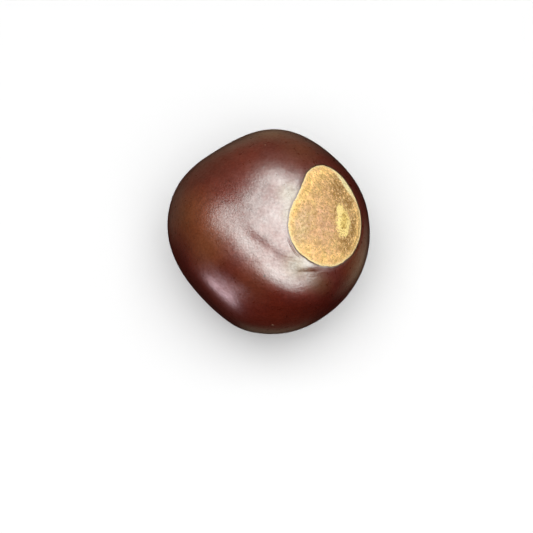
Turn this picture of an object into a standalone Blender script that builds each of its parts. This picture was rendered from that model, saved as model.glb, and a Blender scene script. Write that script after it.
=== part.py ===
"""A buckeye: one ripe seed with a dark coat and a pale hilum, lying on a small flat spot.

Run it in Blender, from the text editor or with blender --background --python part.py.
Metres, +Z up. The seed stands on z = 0 with the middle of its ball above the origin.
Directions are given as a turn from +X, anticlockwise seen from above, and a height above level, in degrees.
"""

import bmesh
import bpy
import numpy as np

MM = 0.001

# The ball of the seed, before anything pressed it flat
HALF_WIDTH = 17.0 * MM
HALF_DEPTH = 17.5 * MM
HALF_HEIGHT = 16.0 * MM
MIDDLE_HEIGHT = 15.0 * MM

# Flats that the husk and the seed's neighbours pressed into the ball: turn, height, distance from the middle
FLATS = {
    "hilum": (-8, 50, 16.3 * MM),
    "cheek": (-140, 72, 15.9 * MM),
    "root_side": (-66, 61, 16.4 * MM),
    "lower_left": (-136, -5, 15.8 * MM),
    "upper_left": (123, 23, 16.4 * MM),
    "right": (46, 17, 17.6 * MM),
    "lower_right": (-53, -10, 18.9 * MM),
    "front": (-96, -17, 18.8 * MM),
    "left": (-159, -1, 17.4 * MM),
    "foot": (0, -90, 15.9 * MM),
}
FLAT_SHARPNESS = 16

# The flat spot that the seed lies on
FOOT_RADIUS = 3.6 * MM

# The hilum's outline, as angles at the middle of the ball. Turns about the hilum count from its top.
HILUM_FACING = (-8, 50)
HILUM_REACH = 27.85
HILUM_SHIFT = (1.0, 83)
HILUM_OVAL = (2.3, 84.5)
HILUM_POINT = (1.35, 44)
HILUM_CORNERS = (0.45, 20)

# The step from the hilum to the coat, in section
HILUM_SINK = 0.15 * MM
HILUM_MARGIN_WIDTH = 1.1 * MM
GROOVE_DEPTH = 0.18 * MM
GROOVE_WIDTH = 0.35 * MM
LIP_HEIGHT = 0.10 * MM
LIP_DISTANCE = 1.0 * MM
LIP_WIDTH = 0.55 * MM

# The embryo's root lifts the ball in a ridge under the flats, and the coat folds between it and the hilum:
# from, to, width in degrees, height
ROOT_RIDGE = ((-158, 52), (-75, 37), 12.4, 1.39 * MM)
HILUM_FOLD = ((-100, 69), (-61, 49), 4.7, 0.22 * MM)

# Facets
SEGMENTS = 96
HILUM_RINGS = 7
BORDER_RINGS = (-1.0 * MM, -0.4 * MM, 0.0, 0.35 * MM, 1.0 * MM, 1.8 * MM)
COAT_RINGS = 30

# Finishes: colour, roughness
COAT_FINISH = ((0.080, 0.020, 0.010, 1.0), 0.28)
HILUM_FINISH = ((0.720, 0.480, 0.250, 1.0), 0.75)


def facing(turn, height):
    """The unit vector of a direction given in degrees."""
    turn, height = np.radians(turn), np.radians(height)
    return np.array([np.cos(height) * np.cos(turn), np.cos(height) * np.sin(turn), np.sin(height)])


def hilum_frame(slide=0.0):
    """Three unit vectors: out of the hilum, up its face, and across it. Slide turns them up towards +Z."""
    out = facing(*HILUM_FACING)
    up = np.array([0.0, 0.0, 1.0]) - out[2] * out
    up /= np.linalg.norm(up)
    angle = slide * np.arccos(out[2])
    return out * np.cos(angle) + up * np.sin(angle), up * np.cos(angle) - out * np.sin(angle), np.cross(out, up)


def hilum_reach(turn):
    """The angle from the hilum's middle to its border, for a turn about it. All angles are in radians."""
    reach = np.radians(HILUM_REACH)
    for folds, (size, towards) in enumerate((HILUM_SHIFT, HILUM_OVAL, HILUM_POINT, HILUM_CORNERS), start=1):
        reach = reach + np.radians(size) * np.cos(folds * (turn - np.radians(towards)))
    return reach


def bump(distance, width):
    """A smooth bump: 1 where the distance is 0, gone a few widths away."""
    return np.exp(-((distance / width) ** 2))


def ridge(directions, start, end, width, height):
    """A rounded ridge, or a hollow, along the shortest way over the ball between two directions."""
    start, end = facing(*start), facing(*end)
    side = np.cross(start, end)
    side /= np.linalg.norm(side)
    across = np.degrees(np.arcsin(np.clip(directions @ side, -1, 1)))
    along = np.degrees(np.arctan2(directions @ np.cross(side, start), directions @ start))
    length = np.degrees(np.arccos(start @ end))
    beyond = np.maximum(np.maximum(-along, along - length), 0.0)
    return height * bump(across, width) * bump(beyond, 2 * width)


def ball_radius(directions):
    """The distance from the middle to the seed's surface: the ball with its ridge, each flat blended into it."""
    ball = np.linalg.norm(directions / (HALF_WIDTH, HALF_DEPTH, HALF_HEIGHT), axis=-1)
    total = (1 / (1 / ball + ridge(directions, *ROOT_RIDGE))) ** FLAT_SHARPNESS
    for turn, height, distance in FLATS.values():
        toward = np.maximum(directions @ facing(turn, height), 0.0)
        total = total + (toward / distance) ** FLAT_SHARPNESS
    return total ** (-1 / FLAT_SHARPNESS)


def border_step(directions):
    """How far the surface stands above the ball at the hilum: a dished face, a groove round it and the coat's lip."""
    out, up, across = hilum_frame()
    angle = np.arccos(np.clip(directions @ out, -1, 1))
    turn = np.arctan2(directions @ across, directions @ up)
    gap = (angle - hilum_reach(turn)) * HALF_WIDTH
    groove = -GROOVE_DEPTH * bump(gap, GROOVE_WIDTH)
    lip = LIP_HEIGHT * bump(gap - LIP_DISTANCE, LIP_WIDTH)
    dish = -HILUM_SINK * (1 - bump(np.minimum(gap, 0.0), HILUM_MARGIN_WIDTH))
    return groove + np.where(gap > 0, lip, dish)


def surface(directions):
    """The points of the seed's surface in these directions from its middle, cut flat at z = 0."""
    radius = ball_radius(directions) + border_step(directions) + ridge(directions, *HILUM_FOLD)
    down = np.maximum(-directions[:, 2], 1e-6)
    radius = np.minimum(radius, MIDDLE_HEIGHT / down)
    points = directions * radius[:, None]
    points[:, 2] = np.maximum(points[:, 2] + MIDDLE_HEIGHT, 0.0)
    return points


def ring(slide, angles):
    """One ring of points about the hilum's axis, which slides towards +Z so that the last ring goes round the foot."""
    turns = np.linspace(0, 2 * np.pi, SEGMENTS, endpoint=False)
    out, up, across = hilum_frame(slide)
    sideways = np.cos(turns)[:, None] * up + np.sin(turns)[:, None] * across
    return surface(np.cos(angles)[:, None] * out + np.sin(angles)[:, None] * sideways)


def rings():
    """Every ring from the hilum's middle to the foot, with the number of those that lie on the hilum."""
    turns = np.linspace(0, 2 * np.pi, SEGMENTS, endpoint=False)
    border = hilum_reach(turns)
    foot = np.pi - np.arctan(FOOT_RADIUS / MIDDLE_HEIGHT)
    first, last = border + BORDER_RINGS[0] / HALF_WIDTH, border + BORDER_RINGS[-1] / HALF_WIDTH
    found = [ring(0, first * step / HILUM_RINGS) for step in range(1, HILUM_RINGS)]
    found += [ring(0, border + gap / HALF_WIDTH) for gap in BORDER_RINGS]
    on_hilum = HILUM_RINGS - 1 + BORDER_RINGS.index(0.0)
    for step in range(1, COAT_RINGS + 1):
        share = step / COAT_RINGS
        found.append(ring(share, last + (foot - last) * share))
    return found, on_hilum


def finish(name, colour, roughness):
    """A plain material of this colour and roughness."""
    material = bpy.data.materials.new(name)
    material.use_nodes = True
    shader = material.node_tree.nodes["Principled BSDF"]
    shader.inputs["Base Color"].default_value = colour
    shader.inputs["Roughness"].default_value = roughness
    material.diffuse_color = colour
    return material


def buckeye():
    """The seed as one closed mesh: rings of faces, closed by a fan in the middle of the hilum and one in the foot."""
    found, on_hilum = rings()
    bm = bmesh.new()
    loops = [[bm.verts.new(point) for point in points] for points in found]
    hilum_middle = bm.verts.new(surface(np.array([facing(*HILUM_FACING)]))[0])
    foot_middle = bm.verts.new((0, 0, 0))
    for side in range(SEGMENTS):
        after = (side + 1) % SEGMENTS
        bm.faces.new((hilum_middle, loops[0][side], loops[0][after]))
        for step, (inner, outer) in enumerate(zip(loops, loops[1:])):
            face = bm.faces.new((inner[side], outer[side], outer[after], inner[after]))
            face.material_index = int(step >= on_hilum)
        foot_face = bm.faces.new((loops[-1][side], foot_middle, loops[-1][after]))
        foot_face.material_index = 1
    mesh = bpy.data.meshes.new("buckeye")
    bm.to_mesh(mesh)
    bm.free()
    mesh.materials.append(finish("hilum", *HILUM_FINISH))
    mesh.materials.append(finish("seed_coat", *COAT_FINISH))
    mesh.shade_smooth()
    seed = bpy.data.objects.new("buckeye", mesh)
    bpy.context.scene.collection.objects.link(seed)
    return seed


for old in list(bpy.data.objects):
    bpy.data.objects.remove(old, do_unlink=True)
buckeye()
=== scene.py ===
"""The looks of a buckeye: its glossy coat, its corky hilum, a pale floor, soft light and the camera."""

import bpy
import numpy as np
from mathutils import Matrix, Vector, noise


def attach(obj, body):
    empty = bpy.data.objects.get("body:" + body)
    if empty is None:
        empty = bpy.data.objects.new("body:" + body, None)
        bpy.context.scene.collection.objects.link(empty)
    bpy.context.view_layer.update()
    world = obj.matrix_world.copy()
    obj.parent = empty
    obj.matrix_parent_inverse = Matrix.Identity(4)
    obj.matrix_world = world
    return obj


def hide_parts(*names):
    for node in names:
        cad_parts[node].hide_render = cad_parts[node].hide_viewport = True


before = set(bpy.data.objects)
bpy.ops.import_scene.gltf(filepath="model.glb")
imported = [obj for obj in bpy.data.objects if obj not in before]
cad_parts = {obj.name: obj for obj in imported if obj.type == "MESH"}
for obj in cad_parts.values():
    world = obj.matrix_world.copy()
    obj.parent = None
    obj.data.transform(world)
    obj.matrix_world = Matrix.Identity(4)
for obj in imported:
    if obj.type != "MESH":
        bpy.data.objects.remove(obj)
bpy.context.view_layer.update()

MM = 0.001

# The ball of the seed, before anything pressed it flat
HALF_WIDTH = 17.0 * MM
HALF_DEPTH = 17.5 * MM
HALF_HEIGHT = 16.0 * MM
MIDDLE_HEIGHT = 15.0 * MM

# Flats pressed into the ball: turn from +X and height above level in degrees, and distance from the middle
FLATS = {
    "hilum": (-8, 50, 16.3 * MM),
    "cheek": (-140, 72, 15.9 * MM),
    "root_side": (-66, 61, 16.4 * MM),
    "lower_left": (-136, -5, 15.8 * MM),
    "upper_left": (123, 23, 16.4 * MM),
    "right": (46, 17, 17.6 * MM),
    "lower_right": (-53, -10, 18.9 * MM),
    "front": (-96, -17, 18.8 * MM),
    "left": (-159, -1, 17.4 * MM),
    "foot": (0, -90, 15.9 * MM),
}
FLAT_SHARPNESS = 16
FOOT_RADIUS = 3.6 * MM

# The embryo's root lifts the ball in a ridge under the flats: from, to, width in degrees, height
ROOT_RIDGE = ((-158, 52), (-75, 37), 12.4, 1.39 * MM)

# The fold between the root and the hilum, given as the ridge is
HILUM_FOLD = ((-100, 69), (-61, 49), 4.7, 0.22 * MM)

# Fine folds of the coat, raised or sunk, which fade towards their ends: from, to, width in degrees, height
FINE_FOLDS = {
    "valley_floor": ((-134, 68), (-74, 53), 3.6, 0.020 * MM),
    "upper_line": ((-77, 56.2), (-58, 50.0), 0.45, 0.020 * MM),
    "middle_line": ((-78, 54.4), (-59, 48.2), 0.45, 0.020 * MM),
    "lower_line": ((-78, 52.4), (-60, 46.8), 0.45, 0.016 * MM),
    "cream_fold": ((-82, 51.5), (-61, 45.6), 2.4, 0.042 * MM),
    "pale_fold": ((-67, 46.7), (-47, 39.7), 2.0, 0.044 * MM),
    "long_crease": ((-79, 47.7), (-56, 38.9), 0.60, -0.015 * MM),
    "end_crease": ((-68, 44.2), (-48, 36.0), 0.60, -0.015 * MM),
    "pinch": ((-57, 40.5), (-47, 34.7), 1.1, -0.012 * MM),
    "left_crease": ((-116, 60.5), (-99, 51.5), 0.7, -0.008 * MM),
}
# How far they wander, in degrees, and over what distance
FOLD_WOBBLE = 0.7
FOLD_WOBBLE_SIZE = 1.6 * MM

# A thin seam beside the hilum's border: distance from it, width, depth, and the turn about the hilum's middle
# and spread in degrees. It wanders a little.
SEAM = (0.56 * MM, 0.12 * MM, 0.11 * MM, 56, 18)
SEAM_WANDER = 0.1 * MM

# The hilum's outline, as angles at the middle of the ball. Turns about the hilum count from its top.
HILUM_FACING = (-8, 50)
HILUM_REACH = 27.85
HILUM_SHIFT = (1.0, 83)
HILUM_OVAL = (2.3, 84.5)
HILUM_POINT = (1.35, 44)
HILUM_CORNERS = (0.45, 20)
HILUM_WAVES = ((7, 0.10, 20), (13, 0.09, 75), (23, 0.07, 5), (37, 0.05, 0))

# The step from the hilum to the coat, in section. The groove is deepest at one turn about the hilum's middle,
# and its depth varies by this share on the way round.
HILUM_SINK = 0.15 * MM
HILUM_MARGIN_WIDTH = 1.1 * MM
GROOVE_DEPTH = 0.06 * MM
GROOVE_WIDTH = 0.16 * MM
GROOVE_DEEPEST = 50
GROOVE_VARIES = 0.4
LIP_HEIGHT = 0.03 * MM
LIP_DISTANCE = 0.85 * MM
LIP_WIDTH = 0.40 * MM
BORDER_BLEND = 0.08 * MM

# Unevenness: low swells all over, streaks along the root, and grit on the hilum
SWELL_HEIGHT, SWELL_SIZE = 0.05 * MM, 5 * MM
STREAK_HEIGHT, STREAK_SIZE, STREAK_STRETCH = 0.006 * MM, 1.3 * MM, 3.5
GRIT_HEIGHT, GRIT_SIZE = 0.04 * MM, 0.7 * MM

# How far the noise is shifted for each seed number, so that no two kinds of unevenness look alike
NOISE_STEP = (7.3, 3.1, 5.7)

# Marks on the hilum: distance and turn from its middle, half size across it and up it
MARKS = {
    "scar": ((10.9, 172), 2.3 * MM, 1.60 * MM),
    "scar_top": ((8.6, -148), 1.3 * MM, 0.95 * MM),
    "scar_foot": ((15.0, 155), 0.8 * MM, 0.55 * MM),
    "scar_middle": ((11.0, 178), 1.6 * MM, 0.80 * MM),
    "brown_top": ((19.0, -105), 2.4 * MM, 2.1 * MM),
    "brown_corner": ((18.5, -137), 1.6 * MM, 1.3 * MM),
    "brown_side": ((18.8, 175), 3.2 * MM, 0.8 * MM),
    "brown_streak": ((5.6, -132), 1.5 * MM, 0.4 * MM),
    "brown_below": ((19.5, 145), 2.0 * MM, 1.6 * MM),
    "pink": ((10.5, 72), 3.8 * MM, 2.9 * MM),
    "tan": ((21.0, 38), 3.6 * MM, 1.8 * MM),
    # Where the margin is paler: partly its own pale gold, partly a painted highlight on the raised rim's
    # upper right
    "pale": ((28.0, -116), 2.6 * MM, 3.0 * MM),
    # A thin dark line of painted shade just inside the raised margin on the hilum's right side
    "margin_shade": ((25.0, -168), 5.0 * MM, 2.2 * MM),
}
MARK_SHARPNESS = 1.5
SCAR_HEIGHT = 0.10 * MM

# Facets of the fine surface
SEGMENTS = 360
HILUM_RINGS = 52
BORDER_FROM, BORDER_TO, BORDER_STEP = -1.2 * MM, 1.6 * MM, 0.07 * MM
COAT_RINGS = 175
COAT_CROWDING = 1.25

# Places on the coat, in millimetres, where it is warmer, creamier or darker: middle, reach, strength
WARM_AND_SHEEN_PATCHES = (
    ((-12.5, -1.5, 26.5), 7.0, 0.85),
    ((-9.7, -6.8, 26.8), 6.0, 0.90),
    ((5.2, 9.6, 27.5), 5.5, 0.55),
    # Partly a painted warm sheen on the right rim
    ((14.6, -7.4, 19.5), 6.0, 0.90),
    ((-2.8, -12.9, 26.1), 5.5, 0.35),
    # Partly a painted warm sheen on the top rim
    ((0.3, 13.6, 25.1), 4.5, 0.95),
)
# Creamier places beside the hilum: partly a paler band of the coat, partly painted to tint the highlight that
# lies there
CREAM_AND_HIGHLIGHT_TINT_PATCHES = (
    ((3.4, 0.6, 30.3), 3.0, 0.42),
    ((3.6, -2.6, 30.0), 2.4, 0.42),
    ((4.6, -9.8, 27.0), 3.6, 0.50),
    ((7.4, -11.7, 24.9), 3.0, 0.20),
    ((9.0, -12.2, 23.4), 2.6, 0.12),
)
DARK_PATCHES = (
    ((10.8, -13.1, 18.7), 7.0, 0.75),
    ((-14.2, -5.8, 21.5), 5.0, 0.60),
    ((-1.5, -1.5, 31.0), 9.0, 0.45),
)

# Places on the coat, in millimetres, where its shine is stronger or weaker: middle, reach, strength
SHINY_PATCHES = (
    ((1.9, -4.3, 29.7), 4.0, 0.22),
    ((1.2, -12.0, 26.8), 4.0, 0.38),
    ((-7.2, -2.8, 28.9), 4.0, 0.25),
    ((-3.6, -6.2, 29.1), 2.8, 0.50),
    ((-3.9, -0.2, 29.9), 2.0, 0.10),
    ((-3.2, -4.3, 29.5), 2.6, 0.30),
    ((-2.3, -8.1, 28.9), 2.2, 0.26),
    ((6.1, -9.9, 26.6), 1.6, 0.60),
    ((7.4, -11.7, 24.9), 2.2, 0.35),
)
DULL_PATCHES = (
    ((-4.7, 1.9, 29.8), 3.5, 0.22),
    ((-5.9, -7.0, 28.5), 3.2, 0.30),
    ((0.1, 1.0, 30.6), 2.6, 0.52),
    ((-2.8, 2.2, 30.3), 2.4, 0.22),
    ((0.7, -5.6, 29.5), 2.8, 0.30),
    ((1.6, -8.7, 28.3), 2.4, 0.30),
    ((3.0, -9.3, 27.9), 2.0, 0.45),
    ((-2.0, -10.1, 27.9), 2.2, 0.15),
    ((4.8, -11.0, 26.5), 1.8, 0.40),
    ((3.7, 0.6, 30.3), 2.0, 0.20),
    ((11.5, -13.0, 18.5), 6.0, 0.70),
)

# Single specks on the coat: middle and reach in millimetres
PALE_SPECKS = (
    ((0.8, -17.1, 18.1), 0.22),
    ((4.3, -16.5, 12.5), 0.20),
    ((-0.5, 10.0, 28.1), 0.16),
)
DARK_SPECKS = (
    ((-0.5, -11.8, 27.2), 0.25),
)

# The coat's colours, and what its colour is multiplied by in the dark and the light of its small mottling
COAT_COLOURS = {
    "deep": (0.096, 0.0070, 0.0014, 1),
    "bright": (0.129, 0.0118, 0.0024, 1),
    # The coat's warmer colour, also used for a painted warm sheen on two rims
    "warm_and_sheen": (0.165, 0.040, 0.0085, 1),
    "dark": (0.066, 0.0028, 0.0012, 1),
    # Partly the coat's paler band by the hilum, partly a painted tint of the highlight there
    "cream_and_highlight_tint": (0.165, 0.115, 0.020, 1),
    "pale_speck": (0.40, 0.25, 0.17, 1),
    "dark_speck": (0.02, 0.008, 0.005, 1),
    # A brown line of painted shade in the groove round the hilum
    "groove": (0.070, 0.026, 0.012, 1),
}
COAT_DARKER, COAT_LIGHTER = (0.70, 0.66, 0.66, 1), (1.06, 1.08, 1.08, 1)

# The coat's mottling: size in millimetres, contrast
COAT_MOTTLE = {"broad": (7.0, 2.4), "worn": (2.4, 3.0), "small": (1.1, 2.4), "fine": (0.40, 3.4)}

# The coat's grain: size in millimetres, share of finer roughness on it, and depth
COAT_GRAIN = (0.32, 0.5)
COAT_GRAIN_DEPTH = 0.017 * MM

# The coat's growth rings: spacing in millimetres, and how soon they break off along their way
RING_SPACING = 0.50
RING_DRIFT = 0.7

# The cork's colours
CORK_COLOURS = {
    "inner": (0.76, 0.485, 0.215, 1),
    "outer": (1.0, 0.675, 0.270, 1),
    "tan": (0.73, 0.545, 0.315, 1),
    "pink": (0.77, 0.480, 0.270, 1),
    "dark_blotch": (0.45, 0.235, 0.060, 1),
    "light_blotch": (0.92, 0.600, 0.250, 1),
    "brown_cell": (1.0, 0.74, 0.38, 1),
    "brown_gap": (0.30, 0.140, 0.032, 1),
    "speck": (0.25, 0.115, 0.03, 1),
    "dark_fibre": (0.30, 0.145, 0.035, 1),
    "margin": (0.95, 0.73, 0.36, 1),
    # The margin where it is paler: partly its own pale gold, partly a painted highlight
    "margin_highlight": (1.0, 0.90, 0.48, 1),
    # Painted shade just inside the raised margin
    "margin_shade": (0.36, 0.19, 0.055, 1),
    "scar": (1.0, 0.79, 0.30, 1),
    "scar_middle": (0.78, 0.52, 0.11, 1),
    "scar_strand": (0.50, 0.27, 0.04, 1),
}

# What the cork's colour is multiplied by
CORK_SHADES = {
    "pinker": (1.04, 0.98, 1.06, 1),
    "yellower": (0.98, 1.00, 0.88, 1),
    "fleck": (0.78, 0.72, 0.64, 1),
    "cell": (1.40, 1.42, 1.42, 1),
    "gap": (0.55, 0.46, 0.36, 1),
    "pale_fibre": (1.30, 1.28, 1.24, 1),
}

# The cork's mottling: size in millimetres, contrast
CORK_MOTTLE = {"broad": (2.2, 2.4), "small": (0.75, 3.0), "tint": (1.3, 3.0), "fine": (0.26, 2.8)}

# The cork's grain as the coat's, its cells' size and skew, and its fibres' spacing and width
CORK_GRAIN = (0.4, 0.8)
CORK_GRAIN_DEPTH = 0.10 * MM
CORK_CELLS = (0.50, 0.45)
PALE_FIBRES, DARK_FIBRES, SCAR_STRANDS = (1.3, 0.08), (0.9, 0.10), (1.1, 0.10)

# What the coat mirrors: a slope of brightness with its base level, and sheens low down on the rims, given as
# direction, reach, glow
MIRRORED_SLOPE = (-0.11, 0.11, 0.13)
MIRRORED_BASE = 0.03
SHEENS = (
    ((0.72, 0.05, -0.70), 0.38, 0.34),
    ((0.0, -0.25, -0.97), 0.32, 0.15),
    ((0.0, 0.89, -0.46), 0.60, 0.17),
    ((-0.62, 0.40, -0.68), 0.35, 0.07),
)
SHEEN_CORE = 0.1
MIRRORED_COLOUR = (1.05, 0.93, 0.64, 1)

# The surround as it lights the seed, and as the camera sees it
SURROUND_LIGHT = (0.27, 0.27, 0.27, 1)
SURROUND_SEEN = (0.97, 0.97, 0.97, 1)

# The floor, and the light that it gives off far away, where the fill light no longer reaches. That light
# starts at one distance and is full at the other, in millimetres.
FLOOR_HALF_SIDE = 1.5
FLOOR_COLOUR = (0.835, 0.835, 0.835, 1)
FLOOR_GLOW = 0.7
FLOOR_GLOW_FROM, FLOOR_GLOW_TO = 150.0, 1200.0

# Lights: direction, roll, distance in metres, width and length at a distance of 1, radiance, colour
LIGHTS = {
    "overhead": ((3, 68), -36, 0.5, 1.99, 1.54, 10.9, (0.90, 1.0, 0.965)),
    "low_front_left": ((-134, -16), -46, 0.3, 0.42, 0.27, 8.8, (1.0, 0.75, 0.82)),
    "fill": ((-95, 79), 0, 1.2, 1.2, 1.2, 3.1, (1.0, 1.0, 1.0)),
}

# The photograph's camera
PHOTO_SIDE = 533
SEED_MIDDLE_IN_PHOTO = (267.9, 231.6)
CAMERA_HEIGHT_ANGLE = 70
LENS = 85.0
SENSOR = 36.0
CAMERA_DISTANCE = 210.8 * MM
CAMERA_CLIP = (0.01, 10)


def facing(turn, height):
    """The unit vector of a direction given in degrees."""
    turn, height = np.radians(turn), np.radians(height)
    return np.array([np.cos(height) * np.cos(turn), np.cos(height) * np.sin(turn), np.sin(height)])


def hilum_frame(slide=0.0):
    """Three unit vectors: out of the hilum, up its face, and across it. Slide turns them up towards +Z."""
    out = facing(*HILUM_FACING)
    up = np.array([0.0, 0.0, 1.0]) - out[2] * out
    up /= np.linalg.norm(up)
    angle = slide * np.arccos(out[2])
    turned_out = out * np.cos(angle) + up * np.sin(angle)
    turned_up = up * np.cos(angle) - out * np.sin(angle)
    return turned_out, turned_up, np.cross(out, up)


def about_hilum(directions):
    """Each direction's angle from the hilum's middle and its turn about it."""
    out, up, across = hilum_frame()
    angle = np.arccos(np.clip(directions @ out, -1, 1))
    return angle, np.arctan2(directions @ across, directions @ up)


def hilum_reach(turn):
    """The angle from the hilum's middle to its border, for a turn about it. All angles are in radians."""
    reach = np.radians(HILUM_REACH)
    for folds, (size, towards) in enumerate((HILUM_SHIFT, HILUM_OVAL, HILUM_POINT, HILUM_CORNERS), start=1):
        reach = reach + np.radians(size) * np.cos(folds * (turn - np.radians(towards)))
    for folds, size, towards in HILUM_WAVES:
        reach = reach + np.radians(size) * np.cos(folds * turn - np.radians(towards))
    return reach


def border_gap(directions):
    """The distance from the hilum's border, outward on the coat and negative on the hilum."""
    angle, turn = about_hilum(directions)
    return (angle - hilum_reach(turn)) * HALF_WIDTH


def bump(distance, width):
    """A smooth bump: 1 where the distance is 0, gone a few widths away."""
    return np.exp(-((distance / width) ** 2))


def way_between(directions, start, end):
    """How far each direction is across and along the way between two others, and its length, in degrees."""
    start, end = facing(*start), facing(*end)
    side = np.cross(start, end)
    side /= np.linalg.norm(side)
    across = np.degrees(np.arcsin(np.clip(directions @ side, -1, 1)))
    along = np.degrees(np.arctan2(directions @ np.cross(side, start), directions @ start))
    return across, along, np.degrees(np.arccos(start @ end))


def ridge(directions, start, end, width, height):
    """A rounded ridge along the shortest way over the ball between two directions."""
    across, along, length = way_between(directions, start, end)
    beyond = np.maximum(np.maximum(-along, along - length), 0.0)
    return height * bump(across, width) * bump(beyond, 2 * width)


def fine_fold(directions, wobble, start, end, width, height):
    """A fine fold or crease that wanders a little, full in its middle and gone at both ends."""
    across, along, length = way_between(directions, start, end)
    share = np.clip(along / length, 0, 1)
    return height * bump(across + wobble, width) * 4 * share * (1 - share)


def all_folds(directions, wobble):
    """How far the fold beside the hilum and the fine folds lift the coat."""
    lift = ridge(directions, *HILUM_FOLD)
    for fold in FINE_FOLDS.values():
        lift = lift + fine_fold(directions, wobble, *fold)
    return lift


def ball_radius(directions):
    """The distance from the middle to the ball's surface, with its ridge and each flat blended into it."""
    ball = np.linalg.norm(directions / (HALF_WIDTH, HALF_DEPTH, HALF_HEIGHT), axis=-1)
    total = (1 / (1 / ball + ridge(directions, *ROOT_RIDGE))) ** FLAT_SHARPNESS
    for turn, height, distance in FLATS.values():
        toward = np.maximum(directions @ facing(turn, height), 0.0)
        total = total + (toward / distance) ** FLAT_SHARPNESS
    return total ** (-1 / FLAT_SHARPNESS)


def border_step(directions, gap):
    """How far the surface stands above the ball at the hilum: dished face, groove round it, coat's lip."""
    turn = about_hilum(directions)[1]
    deeper = 1 - GROOVE_VARIES + GROOVE_VARIES * np.cos(turn - np.radians(GROOVE_DEEPEST))
    groove = -GROOVE_DEPTH * deeper * bump(gap, GROOVE_WIDTH)
    lip = LIP_HEIGHT * bump(gap - LIP_DISTANCE, LIP_WIDTH)
    dish = -HILUM_SINK * (1 - bump(np.minimum(gap, 0.0), HILUM_MARGIN_WIDTH))
    return groove + np.where(gap > 0, lip, dish)


def seam(directions, gap, wobble):
    """The depth of the thin seam that follows part of the hilum's border."""
    distance, width, depth, middle, spread = SEAM
    turn = np.degrees(about_hilum(directions)[1])
    return depth * bump(gap - distance + SEAM_WANDER * wobble, width) * bump(turn - middle, spread)


def mark_strength(directions, place, half_across, half_up):
    """1 in the middle of a mark on the hilum, falling to 0 round its edge."""
    out, up, across = hilum_frame()
    angle, turn = np.radians(place[0]), np.radians(place[1])
    middle = out * np.cos(angle) + np.sin(angle) * (up * np.cos(turn) + across * np.sin(turn))
    offset = (directions - middle) * HALF_WIDTH
    away = (offset @ across / half_across) ** 2 + (offset @ up / half_up) ** 2
    return np.exp(-(away ** MARK_SHARPNESS))


def rough(directions, size, seed, along=None, stretch=1.0):
    """Smooth noise from -1 to 1 over the ball, with features of this size, drawn out along a direction."""
    places = directions * (HALF_WIDTH / size)
    if along is not None:
        places = places - (1 - 1 / stretch) * (places @ along)[:, None] * along
    shift = Vector([seed * step for step in NOISE_STEP])
    return np.array([noise.noise(Vector(place) + shift) for place in places])


def surface(directions):
    """The points of the seed's surface in these directions from its middle, cut flat at z = 0."""
    gap = border_gap(directions)
    on_hilum = 1 / (1 + np.exp(gap / BORDER_BLEND))
    wobble = FOLD_WOBBLE * rough(directions, FOLD_WOBBLE_SIZE, 4)
    radius = ball_radius(directions) + border_step(directions, gap)
    radius = radius + (1 - on_hilum) * (all_folds(directions, wobble) - seam(directions, gap, wobble))
    along_root = facing(*ROOT_RIDGE[1]) - facing(*ROOT_RIDGE[0])
    along_root /= np.linalg.norm(along_root)
    radius = radius + SWELL_HEIGHT * rough(directions, SWELL_SIZE, 1)
    radius = radius + STREAK_HEIGHT * rough(directions, STREAK_SIZE, 2, along_root, STREAK_STRETCH)
    radius = radius + on_hilum * GRIT_HEIGHT * rough(directions, GRIT_SIZE, 3)
    radius = radius + SCAR_HEIGHT * mark_strength(directions, *MARKS["scar"])
    down = np.maximum(-directions[:, 2], 1e-6)
    radius = np.minimum(radius, MIDDLE_HEIGHT / down)
    points = directions * radius[:, None]
    points[:, 2] = np.maximum(points[:, 2] + MIDDLE_HEIGHT, 0.0)
    return points


def ring_directions(slide, angles):
    """One ring of directions about the hilum's axis, which slides towards +Z on the way to the foot."""
    turns = np.linspace(0, 2 * np.pi, SEGMENTS, endpoint=False)
    out, up, across = hilum_frame(slide)
    sideways = np.cos(turns)[:, None] * up + np.sin(turns)[:, None] * across
    return np.cos(angles)[:, None] * out + np.sin(angles)[:, None] * sideways


def all_rings():
    """Every ring of directions from the hilum's middle to the foot, and how many lie inside the border."""
    turns = np.linspace(0, 2 * np.pi, SEGMENTS, endpoint=False)
    border = hilum_reach(turns)
    foot = np.pi - np.arctan(FOOT_RADIUS / MIDDLE_HEIGHT)
    gaps = np.arange(round(BORDER_FROM / BORDER_STEP), round(BORDER_TO / BORDER_STEP) + 1) * BORDER_STEP
    first, last = border + gaps[0] / HALF_WIDTH, border + gaps[-1] / HALF_WIDTH
    found = [ring_directions(0, first * step / HILUM_RINGS) for step in range(1, HILUM_RINGS)]
    found += [ring_directions(0, border + gap / HALF_WIDTH) for gap in gaps]
    on_hilum = HILUM_RINGS - 1 + int(np.argmin(np.abs(gaps)))
    for step in range(1, COAT_RINGS + 1):
        share = (step / COAT_RINGS) ** COAT_CROWDING
        found.append(ring_directions(share, last + (foot - last) * share))
    return found, on_hilum


def closed_faces(ring_count, on_hilum):
    """The faces between the rings, with a fan at each end, and their slots: 0 is the hilum, 1 the coat."""
    hilum_middle = ring_count * SEGMENTS
    foot_middle = hilum_middle + 1
    rim = (ring_count - 1) * SEGMENTS
    faces, slots = [], []
    for side in range(SEGMENTS):
        after = (side + 1) % SEGMENTS
        faces.append((hilum_middle, side, after))
        slots.append(0)
        for step in range(ring_count - 1):
            inner, outer = step * SEGMENTS, (step + 1) * SEGMENTS
            faces.append((inner + side, outer + side, outer + after, inner + after))
            slots.append(int(step >= on_hilum))
        faces.append((rim + side, foot_middle, rim + after))
        slots.append(1)
    return faces, slots


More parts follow.
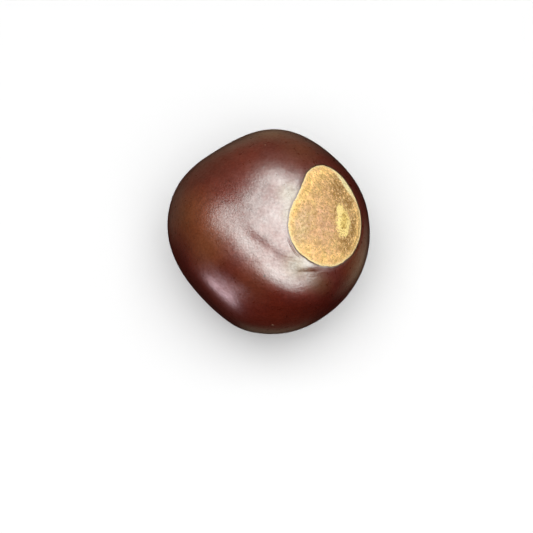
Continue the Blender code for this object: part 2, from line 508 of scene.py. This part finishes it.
def store(mesh, name, values):
    """Keeps a number for each vertex, for the materials to read; the last vertex, in the foot, gets 0."""
    values = np.append(values, 0.0).astype(np.float32)
    mesh.attributes.new(name, "FLOAT", "POINT").data.foreach_set("value", values)


def store_marks(mesh, directions):
    """Keeps the strength of the marks at each vertex, the scar's parts as one and the brown ones as one."""
    marks = {name: mark_strength(directions, *mark) for name, mark in MARKS.items()}
    for name in ("scar_middle", "pink", "tan", "pale", "margin_shade"):
        store(mesh, name, marks[name])
    store(mesh, "scar", np.max([marks[name] for name in ("scar", "scar_top", "scar_foot")], axis=0))
    store(mesh, "brown", np.max([marks[name] for name in marks if name.startswith("brown")], axis=0))


def seed_mesh():
    """The seed's fine surface as one closed mesh, with what its materials read from it."""
    found, on_hilum = all_rings()
    middle = facing(*HILUM_FACING)[None, :]
    directions = np.concatenate(found + [middle])
    points = np.concatenate([surface(directions), [[0.0, 0.0, 0.0]]])
    faces, slots = closed_faces(len(found), on_hilum)
    mesh = bpy.data.meshes.new("seed")
    mesh.from_pydata([tuple(point) for point in points], [], faces)
    mesh.polygons.foreach_set("material_index", slots)
    mesh.shade_smooth()
    store(mesh, "border_gap", border_gap(directions) / MM)
    store_marks(mesh, directions)
    return mesh


def add_node(tree, kind, inputs=None, **settings):
    """A shader node with its settings and inputs; an input is a value or another node's output."""
    node = tree.nodes.new("ShaderNode" + kind)
    for name, value in settings.items():
        setattr(node, name, value)
    for name, value in (inputs or {}).items():
        if isinstance(value, bpy.types.NodeSocket):
            tree.links.new(value, node.inputs[name])
        else:
            node.inputs[name].default_value = value
    return node


def calculate(tree, operation, first, second=0.0):
    """The result of a sum on one or two values."""
    return add_node(tree, "Math", {0: first, 1: second}, operation=operation).outputs[0]


def weighted(tree, *terms):
    """The sum of these values, each times its weight; a plain number is added as it is."""
    total = 0.0
    for term in terms:
        part = calculate(tree, "MULTIPLY", *term) if isinstance(term, tuple) else term
        total = calculate(tree, "ADD", total, part)
    return total


def fade(tree, value, start, end):
    """0 where the value is at start, 1 where it is at end, and smooth between."""
    inputs = {"Value": value, "From Min": start, "From Max": end, "To Min": 0.0, "To Max": 1.0}
    return add_node(tree, "MapRange", inputs, interpolation_type="SMOOTHSTEP").outputs["Result"]


def blend(tree, share, first, second, mode="MIX"):
    """One colour mixed into another."""
    node = add_node(tree, "Mix", {0: share, 6: first, 7: second}, data_type="RGBA", blend_type=mode)
    return node.outputs[2]


def millimetres(tree):
    """The place on the piece, in millimetres."""
    place = add_node(tree, "TexCoord").outputs["Object"]
    return add_node(tree, "VectorMath", {0: place, "Scale": 1 / MM}, operation="SCALE").outputs[0]


def distance_from(tree, place, point):
    """The distance between two places."""
    inputs = {0: place, 1: point}
    return add_node(tree, "VectorMath", inputs, operation="DISTANCE").outputs["Value"]


def attribute(tree, name):
    """A number that the mesh keeps for each vertex."""
    return add_node(tree, "Attribute", attribute_name=name).outputs["Fac"]


def smooth_noise(tree, place, scale, detail, roughness=0.5):
    """The outputs of smooth noise at this place."""
    inputs = {"Vector": place, "Scale": scale, "Detail": detail, "Roughness": roughness}
    return add_node(tree, "TexNoise", inputs).outputs


def start_group(name, inputs, outputs):
    """An empty node group with these inputs (name, socket, value) and outputs (name, socket)."""
    group = bpy.data.node_groups.new(name, "ShaderNodeTree")
    for title, socket, value in inputs:
        made = group.interface.new_socket(title, in_out="INPUT", socket_type="NodeSocket" + socket)
        if value is not None:
            made.default_value = value
    for title, socket in outputs:
        group.interface.new_socket(title, in_out="OUTPUT", socket_type="NodeSocket" + socket)
    return group, group.nodes.new("NodeGroupInput").outputs, group.nodes.new("NodeGroupOutput").inputs


def make_mottle():
    """Soft patches of a given size, as on anything that ripens unevenly."""
    inputs = [("Place", "Vector", None), ("Size", "Float", 2.0), ("Contrast", "Float", 1.0)]
    group, given, out = start_group("mottle", inputs, [("Patches", "Float")])
    scale = calculate(group, "DIVIDE", 1.0, given["Size"])
    wanted = {"Vector": given["Place"], "Scale": scale, "Detail": 2.0, "Roughness": 0.55, "Distortion": 0.4}
    level = add_node(group, "TexNoise", wanted).outputs["Fac"]
    spread = calculate(group, "MULTIPLY", calculate(group, "SUBTRACT", level, 0.5), given["Contrast"])
    shifted = calculate(group, "ADD", spread, 0.5)
    group.links.new(add_node(group, "Clamp", {"Value": shifted}).outputs[0], out["Patches"])
    return group


def make_cells():
    """Cork cells of a given size, a little askew: their middles, and the gaps between them."""
    inputs = [("Place", "Vector", None), ("Size", "Float", 0.6), ("Warp", "Float", 0.3)]
    group, given, out = start_group("cork cells", inputs, [("Middles", "Float"), ("Gaps", "Float")])
    drift = smooth_noise(group, given["Place"], 1.6, 1.0)["Color"]
    drift = add_node(group, "VectorMath", {0: drift, 1: (0.5, 0.5, 0.5)}, operation="SUBTRACT").outputs[0]
    drift = add_node(group, "VectorMath", {0: drift, "Scale": given["Warp"]}, operation="SCALE").outputs[0]
    askew = add_node(group, "VectorMath", {0: given["Place"], 1: drift}, operation="ADD").outputs[0]
    scale = calculate(group, "DIVIDE", 1.0, given["Size"])
    distance = add_node(group, "TexVoronoi", {"Vector": askew, "Scale": scale}).outputs["Distance"]
    group.links.new(fade(group, distance, 0.48, 0.18), out["Middles"])
    group.links.new(fade(group, distance, 0.48, 0.72), out["Gaps"])
    return group


def make_fibres():
    """Thin wandering fibres of a given spacing, with 1 along the middle of each."""
    inputs = [("Place", "Vector", None), ("Spacing", "Float", 0.8), ("Width", "Float", 0.06)]
    group, given, out = start_group("fibres", inputs, [("Fibres", "Float")])
    scale = calculate(group, "DIVIDE", 1.0, given["Spacing"])
    wanted = {"Vector": given["Place"], "Scale": scale, "Detail": 1.5, "Roughness": 0.6, "Distortion": 1.2}
    level = add_node(group, "TexNoise", wanted).outputs["Fac"]
    off = calculate(group, "ABSOLUTE", calculate(group, "SUBTRACT", level, 0.5))
    group.links.new(fade(group, off, given["Width"], 0.0), out["Fibres"])
    return group


def make_grain():
    """The fine grain of a skin: cells of a given size with finer roughness on them."""
    inputs = [("Place", "Vector", None), ("Size", "Float", 0.3), ("Fineness", "Float", 0.5)]
    group, given, out = start_group("skin grain", inputs, [("Height", "Float")])
    scale = calculate(group, "DIVIDE", 1.0, given["Size"])
    cells = smooth_noise(group, given["Place"], scale, 1.0)["Fac"]
    grit = smooth_noise(group, given["Place"], calculate(group, "MULTIPLY", scale, 2.7), 2.0, 0.6)["Fac"]
    fine = calculate(group, "MULTIPLY", grit, given["Fineness"])
    group.links.new(calculate(group, "ADD", cells, fine), out["Height"])
    return group


def use_group(tree, group, place, **values):
    """The outputs of a node group at this place, with its other inputs set to these values."""
    node = add_node(tree, "Group", node_tree=group)
    tree.links.new(place, node.inputs["Place"])
    for name, value in values.items():
        node.inputs[name].default_value = value
    return node.outputs


def patches(tree, mottle, place, size, contrast):
    """The mottle group's patches at this place."""
    return use_group(tree, mottle, place, Size=size, Contrast=contrast)["Patches"]


def grain_height(tree, grain, place, size, fineness):
    """The skin grain group's height at this place."""
    return use_group(tree, grain, place, Size=size, Fineness=fineness)["Height"]


def fibres_at(tree, fibres, place, spacing, width):
    """The fibre group's fibres at this place."""
    return use_group(tree, fibres, place, Spacing=spacing, Width=width)["Fibres"]


def start_material(name):
    """A material with its tree and its Principled shader."""
    material = bpy.data.materials.new(name)
    material.use_nodes = True
    return material, material.node_tree, material.node_tree.nodes["Principled BSDF"]


def patch_in(tree, place, colour, spots, wanted):
    """The colour with another one faded in round each of these spots."""
    for point, reach, strength in spots:
        near = fade(tree, distance_from(tree, place, point), reach, 0.0)
        colour = blend(tree, calculate(tree, "MULTIPLY", near, strength), colour, wanted)
    return colour


def speck_in(tree, place, colour, specks, wanted):
    """The colour with small specks of another one, each full for the inner third of its reach."""
    for point, reach in specks:
        near = fade(tree, distance_from(tree, place, point), reach, 0.3 * reach)
        colour = blend(tree, near, colour, wanted)
    return colour


def raise_near(tree, place, value, spots, sign):
    """The value raised, or lowered where the sign is -1, round each of these spots."""
    for point, reach, strength in spots:
        near = fade(tree, distance_from(tree, place, point), reach, 0.0)
        value = calculate(tree, "ADD", value, calculate(tree, "MULTIPLY", near, sign * strength))
    return value


def growth_rings(tree, place, gap):
    """Fine broken lines that follow the hilum's border, from 0 to 1."""
    drift = add_node(tree, "VectorMath", {0: place, "Scale": RING_DRIFT}, operation="SCALE").outputs[0]
    outward = add_node(tree, "CombineXYZ", {"X": calculate(tree, "DIVIDE", gap, RING_SPACING)}).outputs[0]
    way = add_node(tree, "VectorMath", {0: drift, 1: outward}, operation="ADD").outputs[0]
    return fade(tree, smooth_noise(tree, way, 1.0, 2.0, 0.6)["Fac"], 0.3, 0.7)


def coat_colour(tree, place, mottling, in_groove):
    """The coat's mahogany, with warmer places, partly a painted warm sheen on two rims, creamier places
    partly painted to tint the highlight, darker places, small mottling, specks, and painted shade in the
    groove.
    """
    colour = blend(tree, mottling["broad"], COAT_COLOURS["deep"], COAT_COLOURS["bright"])
    colour = patch_in(tree, place, colour, WARM_AND_SHEEN_PATCHES, COAT_COLOURS["warm_and_sheen"])
    colour = patch_in(tree, place, colour, DARK_PATCHES, COAT_COLOURS["dark"])
    colour = patch_in(tree, place, colour, CREAM_AND_HIGHLIGHT_TINT_PATCHES, COAT_COLOURS["cream_and_highlight_tint"])
    darker = blend(tree, 1.0, colour, COAT_DARKER, "MULTIPLY")
    lighter = blend(tree, 1.0, colour, COAT_LIGHTER, "MULTIPLY")
    share = weighted(tree, (mottling["small"], 0.50), (mottling["fine"], 0.50))
    colour = blend(tree, share, darker, lighter)
    colour = speck_in(tree, place, colour, PALE_SPECKS, COAT_COLOURS["pale_speck"])
    colour = speck_in(tree, place, colour, DARK_SPECKS, COAT_COLOURS["dark_speck"])
    # Painted shade in the groove round the hilum
    return blend(tree, in_groove, colour, COAT_COLOURS["groove"])


def coat_wax(tree, place, mottling, rings, in_groove):
    """How waxy the coat is, from 0 to 1: uneven all over, more or less in places, and not in the groove."""
    waxy = weighted(tree, (mottling["fine"], 0.44), (mottling["worn"], 0.32), (rings, 0.20), 0.02)
    waxy = raise_near(tree, place, waxy, SHINY_PATCHES, 1)
    waxy = raise_near(tree, place, waxy, DULL_PATCHES, -1)
    waxy = calculate(tree, "SUBTRACT", waxy, in_groove)
    return add_node(tree, "Clamp", {"Value": waxy}).outputs[0]


def coat_material(mottle, grain):
    """The ripe coat: mottled mahogany with a waxy shine that is broken by a very fine grain."""
    material, tree, shader = start_material("seed_coat")
    place, gap = millimetres(tree), attribute(tree, "border_gap")
    mottling = {name: patches(tree, mottle, place, *values) for name, values in COAT_MOTTLE.items()}
    rings = growth_rings(tree, place, gap)
    # 1 in the groove round the hilum, where painted shade colours the coat and its wax is taken away
    in_groove = calculate(tree, "MULTIPLY", fade(tree, gap, -0.1, 0.05), fade(tree, gap, 0.45, 0.10))
    tree.links.new(coat_colour(tree, place, mottling, in_groove), shader.inputs["Base Color"])
    tree.links.new(weighted(tree, (mottling["small"], 0.04), 0.27), shader.inputs["Roughness"])
    shader.inputs["Specular IOR Level"].default_value = 0.5
    tree.links.new(coat_wax(tree, place, mottling, rings, in_groove), shader.inputs["Coat Weight"])
    shader.inputs["Coat Roughness"].default_value = 0.28
    height = weighted(tree, grain_height(tree, grain, place, *COAT_GRAIN), (rings, 0.12))
    raised = add_node(tree, "Bump", {"Height": height, "Strength": 1.0, "Distance": COAT_GRAIN_DEPTH})
    tree.links.new(raised.outputs["Normal"], shader.inputs["Normal"])
    tree.links.new(raised.outputs["Normal"], shader.inputs["Coat Normal"])
    return material


def cork_colour(tree, mottling):
    """The cork's colour: pinkish inside, golden towards the margin, with soft flecks and brown marks."""
    tan = attribute(tree, "tan")
    inward = weighted(tree, attribute(tree, "border_gap"), (mottling["broad"], 2.4), (tan, -1.8), -1.2)
    colour = blend(tree, fade(tree, inward, -4.3, -1.0), CORK_COLOURS["inner"], CORK_COLOURS["outer"])
    colour = blend(tree, weighted(tree, (tan, 0.9)), colour, CORK_COLOURS["tan"])
    colour = blend(tree, weighted(tree, (attribute(tree, "pink"), 0.8)), colour, CORK_COLOURS["pink"])
    tint = blend(tree, mottling["tint"], CORK_SHADES["pinker"], CORK_SHADES["yellower"])
    colour = blend(tree, 1.0, colour, tint, "MULTIPLY")
    colour = blend(tree, fade(tree, mottling["small"], 0.9, 0.0), colour, CORK_SHADES["fleck"], "MULTIPLY")
    blotched = blend(tree, mottling["small"], CORK_COLOURS["dark_blotch"], CORK_COLOURS["light_blotch"])
    return blend(tree, weighted(tree, (attribute(tree, "brown"), 0.80)), colour, blotched)


def add_cells(tree, colour, cell, fine):
    """The cork's colour with its cells and dark specks, which show most where it is brown."""
    brown = attribute(tree, "brown")
    colour = blend(tree, weighted(tree, (cell["Middles"], 0.28)), colour, CORK_SHADES["cell"], "MULTIPLY")
    colour = blend(tree, weighted(tree, (cell["Gaps"], 0.34)), colour, CORK_SHADES["gap"], "MULTIPLY")
    brown_middles = calculate(tree, "MULTIPLY", cell["Middles"], weighted(tree, (brown, 0.85)))
    colour = blend(tree, brown_middles, colour, CORK_COLOURS["brown_cell"])
    brown_gaps = calculate(tree, "MULTIPLY", cell["Gaps"], weighted(tree, (brown, 0.75)))
    colour = blend(tree, brown_gaps, colour, CORK_COLOURS["brown_gap"])
    specks = fade(tree, weighted(tree, fine, (brown, 0.26)), 0.72, 0.90)
    return blend(tree, weighted(tree, (specks, 0.75)), colour, CORK_COLOURS["speck"])


def add_fibres(tree, place, colour, fibres):
    """The cork's colour with thin pale fibres, and dark ones where it is brown."""
    pale = fibres_at(tree, fibres, place, *PALE_FIBRES)
    dark = fibres_at(tree, fibres, place, *DARK_FIBRES)
    colour = blend(tree, weighted(tree, (pale, 0.50)), colour, CORK_SHADES["pale_fibre"], "MULTIPLY")
    share = calculate(tree, "MULTIPLY", dark, weighted(tree, (attribute(tree, "brown"), 0.68), 0.10))
    return blend(tree, share, colour, CORK_COLOURS["dark_fibre"])


def add_margin(tree, colour, fine):
    """The colour with the hilum's thin pale margin, brightest on its upper right where a painted highlight
    lies on the raised rim, and a thin dark line of painted shade just inside the margin on the right.
    """
    gap, pale = attribute(tree, "border_gap"), attribute(tree, "pale")
    off = calculate(tree, "ABSOLUTE", weighted(tree, gap, (fine, 0.35), 0.42))
    # Painted shade: a thin dark line just inside the raised margin on the right
    margin_shaded = calculate(tree, "MULTIPLY", fade(tree, off, 0.20, 0.04), attribute(tree, "margin_shade"))
    # The pale mark lightens the margin: partly its own pale gold, partly a painted highlight on the raised
    # rim
    ragged = weighted(tree, gap, (fine, 0.45), (pale, 0.95), -0.14)
    lit = blend(tree, pale, CORK_COLOURS["margin"], CORK_COLOURS["margin_highlight"])
    colour = blend(tree, weighted(tree, (fade(tree, ragged, -0.40, -0.08), 0.85)), colour, lit)
    return blend(tree, weighted(tree, (margin_shaded, 0.75)), colour, CORK_COLOURS["margin_shade"])


def add_scar(tree, place, colour, fine, fibres):
    """The colour with the scar: a ragged pale yellow ring round golden brown strands."""
    reach = weighted(tree, attribute(tree, "scar"), (fine, 0.55), -0.28)
    colour = blend(tree, fade(tree, reach, 0.30, 0.46), colour, CORK_COLOURS["scar"])
    middle = weighted(tree, attribute(tree, "scar_middle"), (fine, 0.9), -0.45)
    golden = weighted(tree, (fade(tree, middle, 0.25, 0.60), 0.55))
    colour = blend(tree, golden, colour, CORK_COLOURS["scar_middle"])
    strands = fibres_at(tree, fibres, place, *SCAR_STRANDS)
    share = calculate(tree, "MULTIPLY", strands, fade(tree, middle, 0.15, 0.50))
    return blend(tree, weighted(tree, (share, 0.90)), colour, CORK_COLOURS["scar_strand"])


def hilum_material(mottle, grain, cells, fibres):
    """The hilum: dry tan cork of small cells with brown marks, a pale margin and the yellow scar."""
    material, tree, shader = start_material("hilum")
    place = millimetres(tree)
    mottling = {name: patches(tree, mottle, place, *values) for name, values in CORK_MOTTLE.items()}
    cell = use_group(tree, cells, place, Size=CORK_CELLS[0], Warp=CORK_CELLS[1])
    colour = add_cells(tree, cork_colour(tree, mottling), cell, mottling["fine"])
    colour = add_margin(tree, add_fibres(tree, place, colour, fibres), mottling["fine"])
    colour = add_scar(tree, place, colour, mottling["fine"], fibres)
    tree.links.new(colour, shader.inputs["Base Color"])
    shader.inputs["Roughness"].default_value = 0.8
    shader.inputs["Specular IOR Level"].default_value = 0.10
    height = weighted(tree, grain_height(tree, grain, place, *CORK_GRAIN), (cell["Middles"], 0.8))
    raised = add_node(tree, "Bump", {"Height": height, "Strength": 0.8, "Distance": CORK_GRAIN_DEPTH})
    tree.links.new(raised.outputs["Normal"], shader.inputs["Normal"])
    return material


def floor_material():
    """A plain pale matt floor, which stays as pale far from the seed by the light that it gives off there."""
    material, tree, shader = start_material("pale_floor")
    shader.inputs["Base Color"].default_value = FLOOR_COLOUR
    shader.inputs["Roughness"].default_value = 0.9
    shader.inputs["Specular IOR Level"].default_value = 0.1
    away = distance_from(tree, millimetres(tree), (0.0, 0.0, 0.0))
    glow = weighted(tree, (fade(tree, away, FLOOR_GLOW_FROM, FLOOR_GLOW_TO), FLOOR_GLOW))
    tree.links.new(glow, shader.inputs["Emission Color"])
    shader.inputs["Emission Strength"].default_value = 1.0
    return material


def make_seed():
    """The seed's visible surface, in place of its plain solid."""
    mottle, grain = make_mottle(), make_grain()
    mesh = seed_mesh()
    mesh.materials.append(hilum_material(mottle, grain, make_cells(), make_fibres()))
    mesh.materials.append(coat_material(mottle, grain))
    seed = bpy.data.objects.new("buckeye_seed", mesh)
    bpy.context.scene.collection.objects.link(seed)
    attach(seed, "root")
    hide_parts("buckeye")


def make_floor():
    """A large level floor under the seed, which doesn't show in its coat and blocks no light from below."""
    half = FLOOR_HALF_SIDE
    corners = [(-half, -half, 0), (half, -half, 0), (half, half, 0), (-half, half, 0)]
    mesh = bpy.data.meshes.new("floor")
    mesh.from_pydata(corners, [], [(0, 1, 2, 3)])
    mesh.materials.append(floor_material())
    floor = bpy.data.objects.new("floor", mesh)
    bpy.context.scene.collection.objects.link(floor)
    floor.visible_glossy = False
    floor.visible_diffuse = False
    floor.visible_shadow = False


def make_world():
    """A white surround for the camera, and a dim one for the coat to mirror, brightest high at back left."""
    world = bpy.data.worlds.new("surround")
    world.use_nodes = True
    bpy.context.scene.world = world
    tree = world.node_tree
    way = add_node(tree, "TexCoord").outputs["Generated"]
    slope = add_node(tree, "VectorMath", {0: way, 1: MIRRORED_SLOPE}, operation="DOT_PRODUCT")
    mirrored = calculate(tree, "ADD", slope.outputs["Value"], MIRRORED_BASE)
    mirrored = calculate(tree, "MAXIMUM", mirrored, 0.0)
    for towards, reach, glow in SHEENS:
        near = fade(tree, distance_from(tree, way, towards), reach, SHEEN_CORE)
        mirrored = calculate(tree, "ADD", mirrored, calculate(tree, "MULTIPLY", near, glow))
    mirrored = blend(tree, 1.0, mirrored, MIRRORED_COLOUR, "MULTIPLY")
    path = add_node(tree, "LightPath")
    colour = blend(tree, path.outputs["Is Glossy Ray"], SURROUND_LIGHT, mirrored)
    colour = blend(tree, path.outputs["Is Camera Ray"], colour, SURROUND_SEEN)
    tree.links.new(colour, tree.nodes["Background"].inputs["Color"])


def add_softbox(name, towards, roll, distance, width, length, radiance, colour):
    """A rectangular light facing the seed, unseen by the camera."""
    data = bpy.data.lights.new(name, "AREA")
    data.shape = "RECTANGLE"
    data.size, data.size_y = width * distance, length * distance
    data.energy = radiance * np.pi * data.size * data.size_y
    data.color = colour
    light = bpy.data.objects.new(name, data)
    bpy.context.scene.collection.objects.link(light)
    back = Vector(facing(*towards))
    side = Vector(facing(roll, 0))
    side = (side - side.dot(back) * back).normalized()
    turned = Matrix((side, back.cross(side), back)).transposed().to_4x4()
    light.matrix_world = Matrix.Translation(Vector((0, 0, MIDDLE_HEIGHT)) + back * distance) @ turned
    light.visible_camera = False
    return light


def make_lights():
    """Two lights that the coat mirrors, overhead and low in front, and a soft fill that it doesn't mirror."""
    lights = {name: add_softbox(name, *values) for name, values in LIGHTS.items()}
    lights["overhead"].visible_diffuse = False
    lights["low_front_left"].visible_diffuse = False
    lights["fill"].visible_glossy = False


def make_camera():
    """The photograph's camera: high in front, aimed so that the seed sits where it does in the photograph."""
    data = bpy.data.cameras.new("camera")
    data.lens, data.sensor_width = LENS, SENSOR
    data.clip_start, data.clip_end = CAMERA_CLIP
    camera = bpy.data.objects.new("camera", data)
    bpy.context.scene.collection.objects.link(camera)
    middle = Vector((0, 0, MIDDLE_HEIGHT))
    toward = Vector(facing(-90, CAMERA_HEIGHT_ANGLE))
    camera.location = middle + toward * CAMERA_DISTANCE
    pixel = CAMERA_DISTANCE * SENSOR / LENS / PHOTO_SIDE
    right = Vector((1, 0, 0))
    up = toward.cross(right)
    centre = PHOTO_SIDE / 2
    aim = middle + right * (centre - SEED_MIDDLE_IN_PHOTO[0]) * pixel
    aim += up * (SEED_MIDDLE_IN_PHOTO[1] - centre) * pixel
    camera.rotation_euler = (aim - camera.location).to_track_quat("-Z", "Y").to_euler()
    bpy.context.scene.camera = camera


bpy.context.scene.view_settings.view_transform = "Standard"
make_seed()
make_floor()
make_world()
make_lights()
make_camera()
